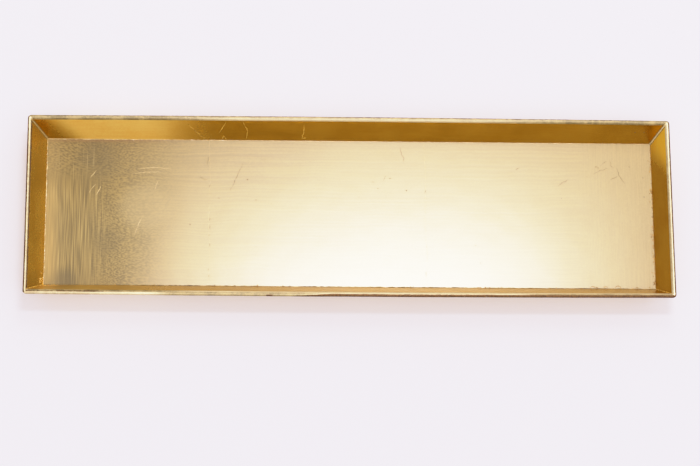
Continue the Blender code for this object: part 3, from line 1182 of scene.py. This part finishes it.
def make_mitre_ridges(finishes):
    """A ridge under the leaf fills each inside mitre, with dark lines in the ground's colour beside it at the
    back.
    """
    sizes = {
        "front_left": (0.0008, 0.00030, 0.7, "gold"),
        "front_right": (0.0006, 0.00022, 0.6, "gold"),
        "back_left": (0.0012, 0.00050, 0.25, "lap"),
        "back_right": (0.0014, 0.00060, 0.25, "ridge"),
    }
    borders = {"back_left": 0.00085 / MM, "back_right": 0.00098 / MM}
    count = 30
    for corner, outward in CORNERS.items():
        width, height, unevenness, finish = sizes[corner]
        looking = (UP * 2 * math.sin(LEAN) - outward * math.cos(LEAN)).normalized()
        course = []
        for number in range(count):
            z = FLOOR_Z + (ARRIS_Z + 0.0005 - FLOOR_Z) * number / (count - 1)
            point = Vector((outward.x * inner_half(LENGTH, z), outward.y * inner_half(WIDTH, z), z))
            sway = noise.noise(Vector((z * 700.0, outward.x, outward.y * 3.0))) * 0.00008
            course.append((skewed(bowed(point)) + Vector((sway * outward.y, -sway * outward.x, 0)), looking))
        shape = bmesh.new()
        add_ridge(shape, course, width, height, unevenness, sunk=0.0003)
        make_object("mitre_ridge_" + corner, shape, [finishes[finish]])
    lines = bmesh.new()
    for corner, offset in borders.items():
        for side in corner.split("_"):
            facing = SIDES[side]
            end = CORNERS[corner].dot(along_axis(facing))
            course = []
            for z in (FLOOR_Z + 0.0003, ARRIS_Z - 0.0003):
                course.append((end * (inner_half(wall_sizes(facing)[1], z) / MM - offset), z / MM))
            add_line(lines, on_inner_face(side), course, "mitre_line")
    make_object("mitre_lines", lines, [finishes["bare"]])


def floor_edge(side):
    """The two ends of one edge of the floor."""
    facing = SIDES[side]
    across_size, along_size = wall_sizes(facing)
    middle = facing * inner_half(across_size, FLOOR_Z) + UP * FLOOR_Z
    reach = along_axis(facing) * inner_half(along_size, FLOOR_Z)
    return skewed(middle - reach).xy, skewed(middle + reach).xy


def make_floor_beads(finishes):
    """Beads of ground and varnish in the angle between the floor and the walls, different on each side."""
    beads = {
        "left": (0.0008, 0.0002, 0.9, "lap"),
        "right": (0.00045, 0.00012, 1.0, "amber"),
        "front": (0.0005, 0.00008, 1.0, "bare"),
        "back": (0.0007, 0.00012, 0.6, "lap"),
    }
    for side, (width, height, unevenness, finish) in beads.items():
        places = trail(floor_edge(side), 0.0009, 0.00012)
        course = [on_floor(place.x, place.y) for place in places]
        shape = bmesh.new()
        add_ridge(shape, course, width, height, unevenness)
        make_object("floor_bead_" + side, shape, [finishes[finish]])


def make_varnish_beads(finishes):
    """Varnish gathered in specks along the floor's edges and heaped in the near left corner."""
    shape = bmesh.new()
    half_x = inner_half(LENGTH, FLOOR_Z) / MM
    half_y = inner_half(WIDTH, FLOOR_Z) / MM
    for number in range(60):
        y = chance.uniform(-half_y, half_y * 0.8)
        x = half_x + FLOOR_SKEW / MM - abs(chance.gauss(0.2, 0.7))
        add_speck(shape, on_floor, x, y, chance.uniform(0.0005, 0.0013), 0.00006)
    for low_x, high_x, count in ((20.0, half_x, 26), (-half_x, -20.0, 12)):
        for number in range(count):
            x = chance.uniform(low_x, high_x)
            y = FRONT_THICKER / 2 / MM - half_y + abs(chance.gauss(0.1, 0.4))
            add_speck(shape, on_floor, x, y, chance.uniform(0.0004, 0.0010), 0.00006)
    make_object("varnish_beads", shape, [finishes["amber"]])
    heap = bmesh.new()
    for number in range(18):
        along = -47.6 + abs(chance.gauss(0.0, 2.4))
        z = 5.0 + abs(chance.gauss(0.0, 2.2))
        add_speck(heap, on_inner_face("left"), along, z, chance.uniform(0.0005, 0.0011), 0.0003)
    make_object("corner_heap", heap, [finishes["gold"]])


def make_loose_leaf(finishes):
    """Crumpled leaf along the near left mitre, and small curls at the floor's near edge."""
    shape = bmesh.new()
    heaps = (("left", -47.0, 2.8, 11), ("front", -191.0, 4.5, 22))
    for side, start, spread, count in heaps:
        for number in range(count):
            along = start + abs(chance.gauss(0.0, spread))
            z = 5.7 + abs(chance.gauss(0.0, 2.2))
            end = (along + chance.uniform(-1.7, 1.7), z + chance.uniform(-0.7, 1.2))
            add_line(shape, on_inner_face(side), [(along, z), end], "crumple")
    make_object("loose_leaf", shape, [finishes["gold"]])
    curls = bmesh.new()
    low_y = 0.1 - inner_half(WIDTH, FLOOR_Z) / MM
    for feet in FLOOR_CURLS.values():
        left, right = (seen_on_floor(pixel)[0] for pixel in feet)
        x, radius = (left + right) / 2, (right - left) / 2
        turns = [math.pi * step / 8 for step in range(9)]
        arch = [(x + radius * math.cos(turn), low_y + radius * math.sin(turn)) for turn in turns]
        add_line(curls, on_floor, arch, "curl")
    make_object("leaf_curls", curls, [finishes["amber"]])


def dress_hidden_nodes(finishes):
    """The pins' ends show in the foot. The splines lie under the leaf."""
    for name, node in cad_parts.items():
        for prefix, finish in (("pin_", "steel"), ("corner_spline_", "ply")):
            if name.startswith(prefix):
                for socket in node.material_slots:
                    socket.material = finishes[finish]


# Studio

# How bright the room is by height, from level with the tray up to overhead
ROOM_LEVELS = ((0.0, 0.80), (0.16, 0.72), (0.30, 0.28), (0.45, 0.36), (0.62, 0.42), (0.85, 0.9), (1.0, 1.0))


def make_camera():
    data = bpy.data.cameras.new("photo_camera")
    data.sensor_fit = "HORIZONTAL"
    data.sensor_width = SENSOR
    data.lens = CAMERA_LENS_PIXELS / PHOTO_WIDTH * SENSOR
    camera = put_in_scene("photo_camera", data)
    camera.matrix_world = camera_stand()
    bpy.context.scene.camera = camera


def make_light(name, place, target, size, tint, radiance):
    """A rectangular soft light, where radiance is how bright its face is."""
    data = bpy.data.lights.new(name, "AREA")
    data.shape = "RECTANGLE"
    data.size, data.size_y = size
    data.color = tint
    data.energy = radiance * math.pi * size[0] * size[1]
    light = put_in_scene(name, data)
    light.location = place
    light.rotation_euler = (Vector(target) - Vector(place)).to_track_quat("-Z", "Y").to_euler()
    light.visible_camera = False


def make_world():
    """A white room: darker at the height of its walls, brightest overhead on the near side."""
    world = bpy.data.worlds.new("studio")
    bpy.context.scene.world = world
    tree = Tree(world)
    direction = tree.add("TexCoord").outputs["Generated"]
    x, y, height = tree.parts(direction)
    ramp = tree.add("ValToRGB", {"Fac": height})
    ramp.color_ramp.interpolation = "EASE"
    while len(ramp.color_ramp.elements) < len(ROOM_LEVELS):
        ramp.color_ramp.elements.new(1.0)
    for element, (position, level) in zip(ramp.color_ramp.elements, ROOM_LEVELS):
        element.position = position
        element.color = colour(level, level * 0.97, level * 0.95)
    near_top = tree.steps((y, 0.1, -0.3), (height, 0.52, 0.70))
    far_low = tree.steps((y, 0.35, 0.6), (height, 0.75, 0.6))
    right_low = tree.steps((x, 0.4, 0.72), (height, 0.85, 0.75))
    shares = tree.sum((near_top, 1.25), (far_low, 0.9), (right_low, 0.85), (x, 0.2))
    strength = tree.math("ADD", shares, 0.82)
    background = tree.add("Background", {"Color": ramp.outputs[0], "Strength": strength})
    output = tree.add("OutputWorld")
    tree.feed(output.inputs["Surface"], background.outputs[0])


def make_stage():
    """The plain floor. It glows faintly, so that it renders as pale as the photograph's."""
    shape = bmesh.new()
    bmesh.ops.create_circle(shape, cap_ends=True, radius=6.0, segments=96)
    mesh = bpy.data.meshes.new("studio_floor")
    shape.to_mesh(mesh)
    shape.free()
    # The glow is painted light. It lightens the tray's shadow on the floor, and, being warm against the cool
    # base colour, tints that shadow warm.
    finish = new_material("studio_floor_finish").finish(
        Base_Color=colour(0.468, 0.509, 0.713),
        Roughness=0.9,
        Emission_Color=colour(1.0, 0.774, 0.587),
        Emission_Strength=0.46,
    )
    mesh.materials.append(finish)
    put_in_scene("studio_floor", mesh)


def make_view():
    """Rolls the brightest tones off softly, as a camera does."""
    view = bpy.context.scene.view_settings
    view.view_transform = "Standard"
    view.use_curve_mapping = True
    view.curve_mapping.white_level = (FILM_WHITE, FILM_WHITE, FILM_WHITE)
    curve = view.curve_mapping.curves[3]  # the one for all three colours together
    steps = 30
    for number in range(1, steps):
        tone = FILM_WHITE * number / steps
        over = max(tone - FILM_KNEE, 0.0) / (1 - FILM_KNEE)
        shown = min(tone, FILM_KNEE) + (1 - FILM_KNEE) * (1 - math.exp(-over))
        curve.points.new(number / steps, shown)
    view.curve_mapping.update()


def make_studio():
    make_camera()
    make_stage()
    make_world()
    make_light(
        "overhead_box",
        place=(0.150, 0.385, 1.9),
        target=(0.18, 0.0, 0.0),
        size=(0.44, 0.13),
        tint=(1.0, 1.0, 1.0),
        radiance=43.0,
    )
    make_light(
        "far_card",
        place=(0.16, 1.00, 1.54),
        target=(0.0, -0.05, 0.0),
        size=(0.34, 0.5),
        tint=(1.0, 0.94, 0.82),
        radiance=7.6,
    )
    make_view()


def main():
    make_studio()
    leaf = wall_leaf()
    finishes = {
        "floor": floor_leaf(),
        "inside": leaf,
        "outside": leaf,
        "rim": rim_leaf(),
        "ridge": ridge_leaf(),
        "lap": lap_leaf(),
        "bare": bare_ground(),
        "amber": amber_varnish(),
        "gold": loose_gold(),
        "foot": underside_paint(),
        "felt": pad_felt(),
        "steel": pin_steel(),
        "ply": spline_ply(),
    }
    make_walls(finishes)
    make_base(finishes)
    make_pads(finishes)
    make_cracks(finishes)
    make_laps(finishes)
    make_wrinkles(finishes)
    make_mitre_ridges(finishes)
    make_floor_beads(finishes)
    make_varnish_beads(finishes)
    make_loose_leaf(finishes)
    dress_hidden_nodes(finishes)


main()
